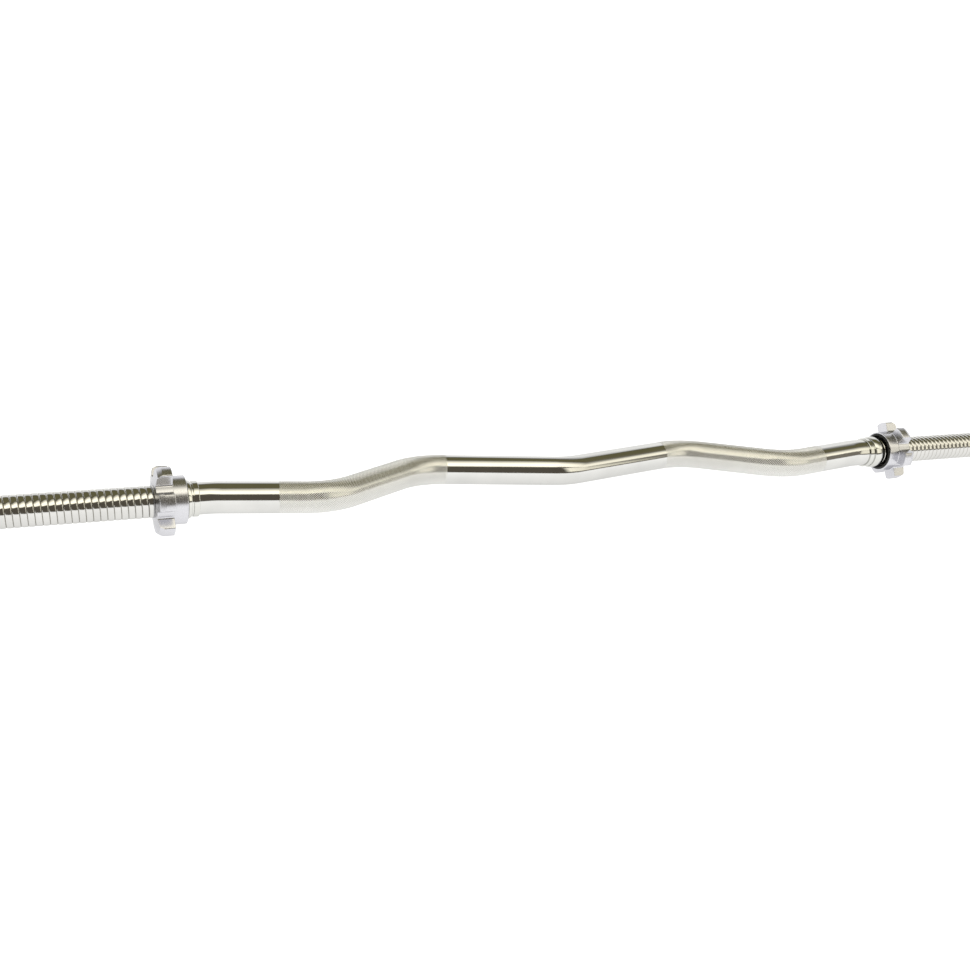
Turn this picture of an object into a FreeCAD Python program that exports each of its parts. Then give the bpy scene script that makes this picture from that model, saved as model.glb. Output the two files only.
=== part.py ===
"""EZ curl bar: one bent steel bar, two inner collars and two screw-on star nuts with rubber rings.

Millimetres, +X along the bar, +Y away from the user's side, +Z up. The origin lies on the floor under
the middle of the part's outline. The left star nut is turned, so its lowest lobe touches the floor first.
"""
import FreeCAD, Part
import math
import os

# Bar stock, and its ends that are a little thinner over the plates' length
bar_d = 25.0
sleeve_d = 24.6
bar_length = 1200.0
end_chamfer = 2.0
nut_stand_length = 31.0

# Bends: distances along the bar from its middle outwards, and sideways offsets from the line of its ends
bend_radius = 60.0
middle_to_inner_bend = 129.0
inner_to_outer_bend = 87.9
outer_to_first_bend = 89.5
middle_bend_y = 4.4
inner_bend_y = 31.5
outer_bend_y = -16.9

# Inner collar: a narrow bead, a groove and a crowned barrel, as thicknesses over the bar
bend_to_collar = 12.5
bead_width = 4.4
bead_wall = 1.3
bead_round = 0.9
groove_width = 1.4
groove_wall = 0.6
barrel_width = 9.3
barrel_wall = 2.4
barrel_crown = 0.7

# Rubber ring in the nose of each star nut, which passes over the collar's barrel
ring_wall = 1.8
ring_round = 0.7
ring_proud = 0.6
ring_bore_clearance = 0.3
ring_side_clearance = 0.3
ring_back_clearance = 0.3

# Star nut: a long hub, then parallel-sided lobes with flat tips, bevelled and coned on the outer side
lobe_count = 6
ring_seat_depth = 4.0
collar_room_length = 2.2
hub_wall = 1.3
hub_length = 10.6
notch_floor_wall = 0.3
lobe_width = 13.0
lobe_height = 8.9
lobe_thickness = 7.1
tip_round = 1.2
root_round = 2.0
bevel_length = 4.4
bevel_drop = 2.2
outer_cone_height = 1.6
outer_face_wall = 1.2
mouth_chamfer = 1.5
thread_clearance = 0.3

# Where the nuts stand: room between collar and recess bottom, and turn from standing on two lobes, in degrees
left_nut_room = 0.5
right_nut_room = 10.5
left_nut_turn = -18.0
right_nut_turn = 0.0

cut_overrun = 1.0

X_AXIS = FreeCAD.Vector(1, 0, 0)
ORIGIN = FreeCAD.Vector(0, 0, 0)
FULL_TURN = 360.0

# Sizes that follow from the ones above
bar_r = bar_d / 2
sleeve_r = sleeve_d / 2
half_length = bar_length / 2
outer_bend_x = middle_to_inner_bend + inner_to_outer_bend
first_bend_x = outer_bend_x + outer_to_first_bend
collar_x = first_bend_x + bend_to_collar
collar_end_x = collar_x + bead_width + groove_width + barrel_width
sleeve_x = collar_end_x + nut_stand_length
barrel_r = bar_r + barrel_wall
ring_bore_r = barrel_r + ring_bore_clearance
ring_r = ring_bore_r + ring_wall
recess_r = ring_r + ring_side_clearance
hub_r = recess_r + hub_wall
notch_floor_r = hub_r + notch_floor_wall
tip_r = notch_floor_r + lobe_height
nut_bore_r = max(bar_r, sleeve_r) + thread_clearance
outer_face_r = nut_bore_r + mouth_chamfer + outer_face_wall
lobe_end = hub_length + lobe_thickness
bevel_end = lobe_end + bevel_length
nut_length = bevel_end + outer_cone_height
recess_depth = ring_seat_depth + collar_room_length
nut_seat_x = collar_end_x - recess_depth


def point(x, y, z=0.0):
    """A point in the part's own axes."""
    return FreeCAD.Vector(x, y, z)


def bent_wire(corners, radius):
    """A line through the corners with every inner corner turned into a tangent arc."""
    edges = []
    start = corners[0]
    for before, corner, after in zip(corners, corners[1:], corners[2:]):
        towards = (before - corner).normalize()
        onwards = (after - corner).normalize()
        half_inside = towards.getAngle(onwards) / 2
        setback = radius / math.tan(half_inside)
        arc_start = corner + towards * setback
        arc_end = corner + onwards * setback
        to_centre = (towards + onwards).normalize()
        arc_middle = corner + to_centre * (radius / math.sin(half_inside) - radius)
        edges.append(Part.makeLine(start, arc_start))
        edges.append(Part.Arc(arc_start, arc_middle, arc_end).toShape())
        start = arc_end
    edges.append(Part.makeLine(start, corners[-1]))
    return Part.Wire(edges)


def turned(outline):
    """A solid turned about X from a closed outline of lines and arcs in (x, radius)."""
    return Part.Face(Part.Wire(outline)).revolve(ORIGIN, X_AXIS, FULL_TURN)


def lines(*corners):
    """Straight edges through corners given as (x, radius) pairs."""
    ends = [point(x, radius) for x, radius in corners]
    return [Part.makeLine(start, end) for start, end in zip(ends, ends[1:])]


def arc(start, middle, end):
    """One arc edge through three (x, radius) pairs."""
    return Part.Arc(point(*start), point(*middle), point(*end)).toShape()


def rod(radius, x_start, x_end):
    """A round rod on the X axis."""
    return Part.makeCylinder(radius, x_end - x_start, point(x_start, 0), X_AXIS)


def mirrored(shape):
    """The same piece for the left end."""
    return shape.mirror(ORIGIN, X_AXIS)


def make_bar():
    """The bent rod with a chamfered sleeve at each end, as one solid."""
    right_half = [
        point(middle_to_inner_bend, inner_bend_y),
        point(outer_bend_x, outer_bend_y),
        point(first_bend_x, 0),
        point(sleeve_x, 0),
    ]
    left_half = [point(-corner.x, corner.y) for corner in reversed(right_half)]
    path = bent_wire(left_half + [point(0, middle_bend_y)] + right_half, bend_radius)
    sweep = Part.BRepOffsetAPI.MakePipeShell(path)
    sweep.add(Part.Wire(Part.makeCircle(bar_r, left_half[0], X_AXIS)))
    sweep.build()
    sweep.makeSolid()
    sleeve = turned(lines(
        (sleeve_x, 0),
        (sleeve_x, sleeve_r),
        (half_length - end_chamfer, sleeve_r),
        (half_length, sleeve_r - end_chamfer),
        (half_length, 0),
        (sleeve_x, 0),
    ))
    return sweep.shape().fuse([sleeve, mirrored(sleeve)]).removeSplitter()


def make_collar():
    """The right inner collar, pressed on the bar: bead, groove and crowned barrel."""
    bead_r = bar_r + bead_wall
    groove_r = bar_r + groove_wall
    barrel_edge_r = barrel_r - barrel_crown
    groove_x = collar_x + bead_width
    barrel_x = groove_x + groove_width
    corner_cut = bead_round * (1 - math.sqrt(0.5))
    outline = lines((collar_x, bar_r), (collar_x, bead_r - bead_round))
    outline.append(arc(
        (collar_x, bead_r - bead_round),
        (collar_x + corner_cut, bead_r - corner_cut),
        (collar_x + bead_round, bead_r),
    ))
    outline += lines(
        (collar_x + bead_round, bead_r),
        (groove_x, bead_r),
        (groove_x, groove_r),
        (barrel_x, groove_r),
        (barrel_x, barrel_edge_r),
    )
    outline.append(arc(
        (barrel_x, barrel_edge_r),
        ((barrel_x + collar_end_x) / 2, barrel_r),
        (collar_end_x, barrel_edge_r),
    ))
    outline += lines((collar_end_x, barrel_edge_r), (collar_end_x, bar_r), (collar_x, bar_r))
    return turned(outline)


def axis_distance(edge):
    """How far the middle of an edge is from the X axis."""
    middle = edge.CenterOfMass
    return math.hypot(middle.y, middle.z)


def lengthwise_edges(block):
    """The edges that run along a nut-long prism, without the seams of its round faces."""
    found = []
    for edge in block.Edges:
        seam = any(edge.isSeam(face) for face in block.Faces)
        if edge.BoundBox.XLength > nut_length / 2 and not seam:
            found.append(edge)
    return found


def lobed_block():
    """A prism of parallel-sided, flat-tipped lobes on a round core, with rounded roots and tips."""
    lobe = Part.makeBox(nut_length, lobe_width, tip_r, point(0, -lobe_width / 2))
    lobe_step = FULL_TURN / lobe_count
    lobes = [lobe.rotated(ORIGIN, X_AXIS, lobe_step * (index + 0.5)) for index in range(lobe_count)]
    block = rod(notch_floor_r, 0, nut_length).fuse(lobes).removeSplitter()
    roots = [edge for edge in lengthwise_edges(block) if axis_distance(edge) < tip_r]
    block = block.makeFillet(root_round, roots)
    tips = [edge for edge in lengthwise_edges(block) if axis_distance(edge) > tip_r]
    return block.makeFillet(tip_round, tips)


def make_star_nut():
    """The right star nut with its nose at x = 0: hub, bevelled lobes, recess for ring and collar, and bore."""
    corner_r = math.hypot(tip_r, lobe_width / 2)
    bevel_slope = bevel_length / bevel_drop
    envelope = turned(lines(
        (0, 0),
        (0, hub_r),
        (hub_length, hub_r),
        (hub_length, corner_r),
        (lobe_end - bevel_slope * (corner_r - tip_r), corner_r),
        (bevel_end, tip_r - bevel_drop),
        (nut_length, outer_face_r),
        (nut_length, 0),
        (0, 0),
    ))
    mouth = turned(lines(
        (nut_length - mouth_chamfer, 0),
        (nut_length - mouth_chamfer, nut_bore_r),
        (nut_length + cut_overrun, nut_bore_r + mouth_chamfer + cut_overrun),
        (nut_length + cut_overrun, 0),
        (nut_length - mouth_chamfer, 0),
    ))
    star = lobed_block().common(envelope)
    bore = rod(nut_bore_r, -cut_overrun, nut_length + cut_overrun)
    ring_seat = rod(recess_r, -cut_overrun, ring_seat_depth)
    collar_room = rod(ring_bore_r, -cut_overrun, recess_depth)
    return star.cut([bore, ring_seat, collar_room, mouth]).removeSplitter()


def make_rubber_ring():
    """The rubber ring in a nut's nose, standing a little proud of x = 0 and passing over the collar."""
    back = ring_seat_depth - ring_back_clearance
    hole = rod(ring_bore_r, -ring_proud - cut_overrun, back + cut_overrun)
    ring = rod(ring_r, -ring_proud, back).cut(hole)
    front_edges = [edge for edge in ring.Edges if edge.BoundBox.XMax < 0]
    return ring.makeFillet(ring_round, front_edges)


collar = make_collar()
nut = make_star_nut()
ring = make_rubber_ring()
right_nut = nut.rotated(ORIGIN, X_AXIS, right_nut_turn)
left_nut = mirrored(nut).rotated(ORIGIN, X_AXIS, left_nut_turn)
right_place = point(nut_seat_x + right_nut_room, 0)
left_place = point(-(nut_seat_x + left_nut_room), 0)

nodes = {
    "bar": make_bar(),
    "inner_collar_right": collar,
    "inner_collar_left": mirrored(collar),
    "star_nut_right": right_nut.translated(right_place),
    "star_nut_left": left_nut.translated(left_place),
    "rubber_ring_right": ring.translated(right_place),
    "rubber_ring_left": mirrored(ring).translated(left_place),
}

# The floor touches the lowest star lobes, and the middle of the outline stands over the origin
outline = Part.makeCompound(list(nodes.values())).optimalBoundingBox(False, False)
to_floor = point(0, -(outline.YMin + outline.YMax) / 2, -outline.ZMin)

os.makedirs("parts", exist_ok=True)
for name, shape in nodes.items():
    placed = shape.translated(to_floor)
    placed.exportStep(f"parts/{name}.step")
    print(f"{name}: {len(placed.Solids)} solid, {placed.Volume:.0f} mm3, valid {placed.isValid()}")
print(f"bar axis at y {to_floor.y:.3f}, z {to_floor.z:.3f}")
print(f"outline {outline.XLength:.2f} x {outline.YLength:.2f} x {outline.ZLength:.2f}")
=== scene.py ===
"""Studio scene of a chromed EZ curl bar with knurled grips, threaded ends, inner collars and star nuts.

Shapes are worked out in millimetres about the bar's own axis and put into meshes in metres, in the frame
of the CAD model: +X along the bar, +Y away from the camera's side, +Z up, floor at zero.
"""
import logging
import math
from dataclasses import dataclass, field
from enum import Enum

import bpy
import numpy as np
from mathutils import Matrix, Vector


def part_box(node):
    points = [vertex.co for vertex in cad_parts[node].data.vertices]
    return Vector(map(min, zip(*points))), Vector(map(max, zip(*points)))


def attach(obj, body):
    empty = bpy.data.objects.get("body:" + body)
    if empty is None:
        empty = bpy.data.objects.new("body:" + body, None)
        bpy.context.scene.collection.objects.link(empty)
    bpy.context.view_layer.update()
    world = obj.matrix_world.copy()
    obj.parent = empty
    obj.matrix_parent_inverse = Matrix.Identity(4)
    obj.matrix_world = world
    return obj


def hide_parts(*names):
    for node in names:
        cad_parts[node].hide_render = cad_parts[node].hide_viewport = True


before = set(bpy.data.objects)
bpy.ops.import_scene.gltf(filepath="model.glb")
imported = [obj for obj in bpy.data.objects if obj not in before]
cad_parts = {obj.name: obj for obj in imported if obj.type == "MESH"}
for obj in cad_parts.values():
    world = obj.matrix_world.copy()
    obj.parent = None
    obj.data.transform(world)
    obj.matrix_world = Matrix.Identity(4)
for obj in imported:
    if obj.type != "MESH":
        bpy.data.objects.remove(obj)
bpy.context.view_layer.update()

LOG = logging.getLogger("curl_bar")
MM = 0.001
FULL_TURN = 2 * math.pi
IMAGE_SIDE = 970
WELD_DECIMALS = 4
LINE_SAMPLES = 20001
RING_COLUMNS = 128
CORNER_POINTS = 5
LEAST_HALF_ANGLE = 1e-6
SETBACK_SHARE = 0.45
HOLD_SHARE = 0.05
NOISE_MIDDLE = (0.3, 0.7)
MIX_COLOUR_A = 6
MIX_COLOUR_B = 7
MIX_COLOUR_RESULT = 2

Colour = tuple[float, float, float]
Stretch = tuple[float, float, float]
Pair = tuple[float, float]


class Side(Enum):
    """The two ends of the bar, with the sign of X there."""

    LEFT = -1
    RIGHT = 1

    @property
    def word(self) -> str:
        """The side as it stands in names."""
        return self.name.lower()


class Shading(Enum):
    """How a piece's faces meet: the angle in degrees past which an edge stays sharp."""

    FACETED = 0.0
    SOFT = 40.0


NUT_TURNS = {Side.LEFT: -18.0, Side.RIGHT: 0.0}


# Shapes


@dataclass
class Solid:
    """A closed skin of triangles.

    Attributes:
        points: Corner points in millimetres about the bar's axis, shape (count, 3).
        triangles: Point numbers, shape (count, 3).
        groove: How deep each point lies in a groove, from 0 on a crest to 1 at a root; it sets the painted
            groove shading.
    """

    points: np.ndarray
    triangles: np.ndarray
    groove: np.ndarray

    @classmethod
    def from_grid(
        cls,
        grid: np.ndarray,
        loop_rows: bool = False,
        loop_columns: bool = True,
        groove: np.ndarray | None = None,
    ) -> "Solid":
        """Close a grid of points into a skin.

        Each cell of the grid becomes two triangles. Points that fall together, at seams and poles, become
        one, triangles that collapse there are dropped, and the skin is turned to face outwards.

        Args:
            grid: Points in millimetres, shape (rows, columns, 3).
            loop_rows: Whether the last row joins the first.
            loop_columns: Whether the last column joins the first.
            groove: Groove depth at each grid point, which sets the painted groove shading.

        Returns:
            The closed skin.
        """
        rows, columns = grid.shape[:2]
        numbers = np.arange(rows * columns).reshape(rows, columns)
        if loop_rows:
            numbers = np.concatenate([numbers, numbers[:1]], axis=0)
        if loop_columns:
            numbers = np.concatenate([numbers, numbers[:, :1]], axis=1)
        a, b = numbers[:-1, :-1], numbers[:-1, 1:]
        c, d = numbers[1:, 1:], numbers[1:, :-1]
        triangles = np.stack([np.stack([a, b, c], -1), np.stack([a, c, d], -1)], -2).reshape(-1, 3)
        depths = np.zeros((rows, columns)) if groove is None else groove
        return cls(grid.reshape(-1, 3), triangles, depths.ravel()).welded().outward()

    def welded(self) -> "Solid":
        """Make one point of points that fall together and drop collapsed triangles.

        Returns:
            The same skin with no doubles.
        """
        keys = np.round(self.points, WELD_DECIMALS) + 0.0
        _, first, inverse = np.unique(keys, axis=0, return_index=True, return_inverse=True)
        triangles = inverse.reshape(-1)[self.triangles]
        a, b, c = triangles.T
        whole = (a != b) & (b != c) & (c != a)
        return Solid(self.points[first], triangles[whole], self.groove[first])

    def outward(self) -> "Solid":
        """Turn the faces outwards: the volume summed over the triangles comes out positive.

        Returns:
            The skin, facing outwards.
        """
        a, b, c = (self.points[column] for column in self.triangles.T)
        volume = np.einsum("ij,ij->i", a, np.cross(b, c)).sum()
        triangles = self.triangles if volume > 0 else self.triangles[:, ::-1]
        return Solid(self.points, triangles, self.groove)

    def mirrored(self, side: Side) -> "Solid":
        """The skin as it stands on the given side, made for the right side."""
        return Solid(self.points * [side.value, 1, 1], self.triangles, self.groove).outward()


def around(count: int) -> np.ndarray:
    """Equal angles round the axis, with no repeat at the end."""
    return np.arange(count) * (FULL_TURN / count)


def rounded_loop(corners: np.ndarray, radii: np.ndarray, steps: int = CORNER_POINTS) -> np.ndarray:
    """Round every corner of closed profiles.

    A corner becomes a parabola that starts and ends where a tangent arc of the wanted radius would, at the
    radius divided by the tangent of half the inside angle, but not past a little under half of a
    neighbouring edge. Two more points near the ends of each straight edge hold the shading flat there.

    Args:
        corners: Corner positions, shape (corners, profiles, 2).
        radii: Wanted radius at each corner, shape (corners,).
        steps: Points on each rounded corner.

    Returns:
        Points, shape (corners * (steps + 2), profiles, 2).
    """
    back = np.roll(corners, 1, axis=0) - corners
    onward = np.roll(corners, -1, axis=0) - corners
    back_length = np.linalg.norm(back, axis=-1, keepdims=True)
    onward_length = np.linalg.norm(onward, axis=-1, keepdims=True)
    back = back / back_length
    onward = onward / onward_length
    cosine = np.clip((back * onward).sum(-1, keepdims=True), -1, 1)
    half_inside = np.arccos(cosine) / 2
    setback = radii[:, None, None] / np.tan(np.maximum(half_inside, LEAST_HALF_ANGLE))
    setback = np.minimum(setback, SETBACK_SHARE * np.minimum(back_length, onward_length))
    start = corners + back * setback
    end = corners + onward * setback
    t = np.linspace(0, 1, steps)[None, :, None, None]
    bows = (1 - t) ** 2 * start[:, None] + 2 * t * (1 - t) * corners[:, None] + t**2 * end[:, None]
    following = np.roll(start, -1, axis=0)
    near = end + HOLD_SHARE * (following - end)
    far = end + (1 - HOLD_SHARE) * (following - end)
    loop = np.concatenate([bows, near[:, None], far[:, None]], axis=1)
    return loop.reshape(-1, *corners.shape[1:])


def turned(profile: np.ndarray, angles: np.ndarray) -> np.ndarray:
    """Turn profiles about the X axis: y is radius times cosine, z is radius times sine.

    Args:
        profile: Pairs of x and radius, shape (rows, columns or 1, 2).
        angles: Angle of each column from +Y towards +Z, shape (columns,).

    Returns:
        Grid points, shape (rows, columns, 3).
    """
    x = np.broadcast_to(profile[..., 0], (profile.shape[0], len(angles)))
    radius = profile[..., 1]
    return np.stack([x, radius * np.cos(angles), radius * np.sin(angles)], axis=-1)


def ring(corners: list[tuple[float, float, float]], side: Side, steps: int = CORNER_POINTS) -> Solid:
    """Turn a closed profile with rounded corners about the bar's axis.

    Args:
        corners: X, radius and rounding of each corner, as on the right side.
        side: The side on which the ring stands.
        steps: Points on each rounded corner.

    Returns:
        The closed skin.
    """
    table = np.array(corners)
    profile = rounded_loop(table[:, None, :2], table[:, 2], steps)
    return Solid.from_grid(turned(profile, around(RING_COLUMNS)), loop_rows=True).mirrored(side)


@dataclass
class BentLine:
    """The bar's centre line, in the flat plane of its bends.

    Straight runs and arcs alternate, and each is a stretch of constant curvature. A point at distance d
    along a stretch lies at the end of a chord of length d * sin(a) / a, where a is half the angle turned
    over d, and the chord's heading is the stretch's first heading plus a.

    Attributes:
        corners: Where the straight runs would meet, shape (count, 2).
        bend_radius: Radius of every bend on the centre line.
        curvature: Curvature of each stretch.
        begins: Distance along the line at which each stretch begins.
        headings: First heading of each stretch, in radians.
        starts: First point of each stretch.
        length: Length of the whole line.
    """

    corners: np.ndarray
    bend_radius: float
    curvature: np.ndarray = field(init=False)
    begins: np.ndarray = field(init=False)
    headings: np.ndarray = field(init=False)
    starts: np.ndarray = field(init=False)
    length: float = field(init=False)

    def __post_init__(self) -> None:
        """Work out where each stretch begins, its first heading and its curvature."""
        runs = np.diff(self.corners, axis=0)
        run_headings = np.arctan2(runs[:, 1], runs[:, 0])
        turns = np.diff(run_headings)
        setbacks = self.bend_radius * np.tan(np.abs(turns) / 2)
        spans = np.zeros(2 * len(turns) + 1)
        spans[0::2] = np.hypot(*runs.T) - np.append(setbacks, 0) - np.insert(setbacks, 0, 0)
        spans[1::2] = self.bend_radius * np.abs(turns)
        self.curvature = np.zeros_like(spans)
        self.curvature[1::2] = np.sign(turns) / self.bend_radius
        self.begins = np.insert(np.cumsum(spans), 0, 0)[:-1]
        self.headings = run_headings[0] + np.insert(np.cumsum(self.curvature * spans), 0, 0)[:-1]
        chords = self.chord(spans, self.headings, self.curvature)
        self.starts = self.corners[0] + np.insert(np.cumsum(chords, axis=0), 0, 0, axis=0)[:-1]
        self.length = float(spans.sum())

    @staticmethod
    def chord(distance: np.ndarray, heading: np.ndarray, curvature: np.ndarray) -> np.ndarray:
        """The chord covered over a distance on stretches of constant curvature.

        Args:
            distance: Distance along each stretch.
            heading: First heading of each stretch in radians.
            curvature: Curvature of each stretch.

        Returns:
            Chord vectors, shape (count, 2).
        """
        half_turn = distance * curvature / 2
        size = distance * np.sinc(half_turn / math.pi)
        bearing = heading + half_turn
        return np.stack([size * np.cos(bearing), size * np.sin(bearing)], axis=-1)

    def at(self, distance: np.ndarray) -> tuple[np.ndarray, np.ndarray]:
        """Points and headings on the line.

        Args:
            distance: Distances along the line from its left end.

        Returns:
            Points, shape (count, 2), and headings in radians.
        """
        index = np.searchsorted(self.begins, distance, side="right") - 1
        along = distance - self.begins[index]
        points = self.starts[index] + self.chord(along, self.headings[index], self.curvature[index])
        return points, self.headings[index] + self.curvature[index] * along

    def distance_at(self, x: float) -> float:
        """Distance along the line at which it passes the given X."""
        samples = np.linspace(0, self.length, LINE_SAMPLES)
        return float(np.interp(x, self.at(samples)[0][:, 0], samples))

    def tube(self, distance: np.ndarray, angles: np.ndarray, radius: np.ndarray) -> np.ndarray:
        """Carry a circle along the line, square to it.

        A point is the centre plus the radius times (cosine of the angle sideways plus sine upwards). The
        three arrays spread to one shape of rows and columns.

        Args:
            distance: Distances along the line.
            angles: Angles round the line.
            radius: Distances from the line.

        Returns:
            Grid points, shape (rows, columns, 3).
        """
        centres, heading = self.at(distance)
        sideways = radius * np.cos(angles)
        x = centres[..., 0] - np.sin(heading) * sideways
        y = centres[..., 1] + np.cos(heading) * sideways
        return np.stack(np.broadcast_arrays(x, y, radius * np.sin(angles)), axis=-1)


# Finishes


class NodeSheet:
    """The node tree of one new material, with short ways to add and join nodes."""

    def __init__(self, name: str) -> None:
        """Start a material with a Principled shader and its output.

        Args:
            name: Name of the material.
        """
        self.material = bpy.data.materials.new(name)
        self.material.use_nodes = True
        self.tree = self.material.node_tree
        self.tree.nodes.clear()
        self.shader = self.add("ShaderNodeBsdfPrincipled")
        output = self.add("ShaderNodeOutputMaterial")
        self.join(self.shader, "BSDF", output, "Surface")
        self.place = self.add("ShaderNodeTexCoord")

    def add(self, kind: str, **inputs: object) -> bpy.types.Node:
        """Add a node.

        Args:
            kind: Blender's type name of the node.
            inputs: Values for its input sockets, with _ for spaces in their names.

        Returns:
            The new node.
        """
        node = self.tree.nodes.new(kind)
        for key, value in inputs.items():
            node.inputs[key.replace("_", " ")].default_value = value
        return node

    def join(
        self, source: bpy.types.Node, output: str | int, target: bpy.types.Node, entry: str | int
    ) -> None:
        """Link one node's output to another's input."""
        self.tree.links.new(source.outputs[output], target.inputs[entry])

    def noise(self, scale: float, detail: float, stretch: Stretch = (1, 1, 1)) -> bpy.types.Node:
        """Add a noise pattern on Object coordinates.

        Args:
            scale: Spots per metre.
            detail: Octaves of finer noise.
            stretch: Factors on the coordinates, below 1 where the pattern is drawn out.

        Returns:
            The noise node.
        """
        mapping = self.add("ShaderNodeMapping", Scale=stretch)
        self.join(self.place, "Object", mapping, "Vector")
        pattern = self.add("ShaderNodeTexNoise", Scale=scale, Detail=detail)
        self.join(mapping, "Vector", pattern, "Vector")
        return pattern

    def spread(self, source: bpy.types.Node, output: str, low: float, high: float) -> bpy.types.Node:
        """Map a pattern's middle range onto the given values.

        Args:
            source: The pattern's node.
            output: Its output.
            low: Value at the low end of that range.
            high: Value at its high end.

        Returns:
            The mapping node, with its output named Result.
        """
        start, end = NOISE_MIDDLE
        node = self.add("ShaderNodeMapRange", From_Min=start, From_Max=end, To_Min=low, To_Max=high)
        self.join(source, output, node, "Value")
        return node

    def ramp(self, pattern: bpy.types.Node, places: Pair, colours: tuple[Colour, Colour]) -> bpy.types.Node:
        """Colour a noise pattern.

        Args:
            pattern: The noise node.
            places: The pattern's values at which the two colours stand.
            colours: The two linear colours.

        Returns:
            The ramp node, with its output named Color.
        """
        node = self.tree.nodes.new("ShaderNodeValToRGB")
        for element, position, colour in zip(node.color_ramp.elements, places, colours):
            element.position = position
            element.color = (*colour, 1.0)
        self.join(pattern, "Fac", node, "Fac")
        return node

    def bump(self, source: bpy.types.Node, output: str, strength: float, depth: float) -> None:
        """Raise the surface by a pattern.

        Args:
            source: The pattern's node.
            output: Its output.
            strength: Share of the relief that shows.
            depth: Height of the relief in metres.
        """
        node = self.add("ShaderNodeBump", Strength=strength, Distance=depth)
        self.join(source, output, node, "Height")
        self.join(node, "Normal", self.shader, "Normal")


@dataclass(frozen=True)
class ChromeFinish:
    """Chrome plating: faint drawn streaks in the gloss, cloudy tint, and painted light and shade at the
    roots of grooves.

    Attributes:
        name: Name of the material.
        slot: The record's slot that it belongs to; not used.
        tint: Linear colour of the plating.
        painted_groove_shading: Colour painted at groove roots: painted shade where darker than the tint,
            painted light where lighter.
        gloss: Lowest and highest roughness of the plating.
        root_roughness: Roughness at the roots of grooves.
        streak: Stretch of the streaks along X, Y and Z.
        relief: Height of the fine relief in metres.
        relief_share: Share of the relief that shows.
        streaks: Spots per metre and octaves of the streaks.
        clouds: Spots per metre and octaves of the cloudy tint.
        cloud_range: The clouds' values between which the tint changes.
        cloud_shade: Brightness of the darker clouds.
        rim: Tint of the plating where it is seen at a flat angle.
    """

    name: str
    slot: str
    tint: Colour
    painted_groove_shading: Colour
    gloss: Pair
    root_roughness: float
    streak: Stretch
    relief: float
    relief_share: float = 0.3
    streaks: Pair = (1400.0, 4.0)
    clouds: Pair = (35.0, 3.0)
    cloud_range: Pair = (0.35, 0.65)
    cloud_shade: float = 0.93
    rim: float = 0.78

    def material(self) -> bpy.types.Material:
        """Make the node material.

        Returns:
            The new material.
        """
        sheet = NodeSheet(self.name)
        sheet.shader.inputs["Metallic"].default_value = 1.0
        sheet.shader.inputs["Specular Tint"].default_value = (self.rim, self.rim, self.rim, 1.0)
        darker = tuple(self.cloud_shade * part for part in self.tint)
        tint = sheet.ramp(sheet.noise(*self.clouds), self.cloud_range, (darker, self.tint))
        # Painted light and shade: the groove mask mixes the tint towards the colour painted at groove
        # roots.
        groove = sheet.add("ShaderNodeAttribute")
        groove.attribute_name = "groove"
        groove_shading_mix = sheet.tree.nodes.new("ShaderNodeMix")
        groove_shading_mix.data_type = "RGBA"
        sheet.join(groove, "Fac", groove_shading_mix, "Factor")
        sheet.join(tint, "Color", groove_shading_mix, MIX_COLOUR_A)
        groove_shading_mix.inputs[MIX_COLOUR_B].default_value = (*self.painted_groove_shading, 1.0)
        sheet.join(groove_shading_mix, MIX_COLOUR_RESULT, sheet.shader, "Base Color")
        streaks = sheet.noise(*self.streaks, self.streak)
        gloss = sheet.spread(streaks, "Fac", *self.gloss)
        duller = sheet.add("ShaderNodeMix", B=self.root_roughness)
        sheet.join(groove, "Fac", duller, "Factor")
        sheet.join(gloss, "Result", duller, "A")
        sheet.join(duller, "Result", sheet.shader, "Roughness")
        sheet.bump(streaks, "Fac", self.relief_share, self.relief)
        return sheet.material


@dataclass(frozen=True)
class RubberFinish:
    """Black moulded rubber with a fine grain and pale dust in it.

    Attributes:
        name: Name of the material.
        slot: The record's slot that it belongs to; not used.
        tint: Linear colour of the rubber.
        dust: Linear colour where dust lies.
        spots: Spots per metre and octaves of the dust.
        spot_range: The spots' values between which dust sets in.
        sheen: Strength of the reflection.
        grain: Spots per metre and octaves of the grain.
        gloss: Lowest and highest roughness.
        relief: Height of the grain in metres.
        relief_share: Share of the relief that shows.
    """

    name: str
    slot: str
    tint: Colour
    dust: Colour
    spots: Pair = (450.0, 5.0)
    spot_range: Pair = (0.45, 0.75)
    sheen: float = 0.35
    grain: Pair = (2600.0, 3.0)
    gloss: Pair = (0.5, 0.68)
    relief: float = 6e-5
    relief_share: float = 0.4

    def material(self) -> bpy.types.Material:
        """Make the node material.

        Returns:
            The new material.
        """
        sheet = NodeSheet(self.name)
        sheet.shader.inputs["Specular IOR Level"].default_value = self.sheen
        tint = sheet.ramp(sheet.noise(*self.spots), self.spot_range, (self.tint, self.dust))
        sheet.join(tint, "Color", sheet.shader, "Base Color")
        grain = sheet.noise(*self.grain)
        rough = sheet.spread(grain, "Fac", *self.gloss)
        sheet.join(rough, "Result", sheet.shader, "Roughness")
        sheet.bump(grain, "Fac", self.relief_share, self.relief)
        return sheet.material


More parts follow.
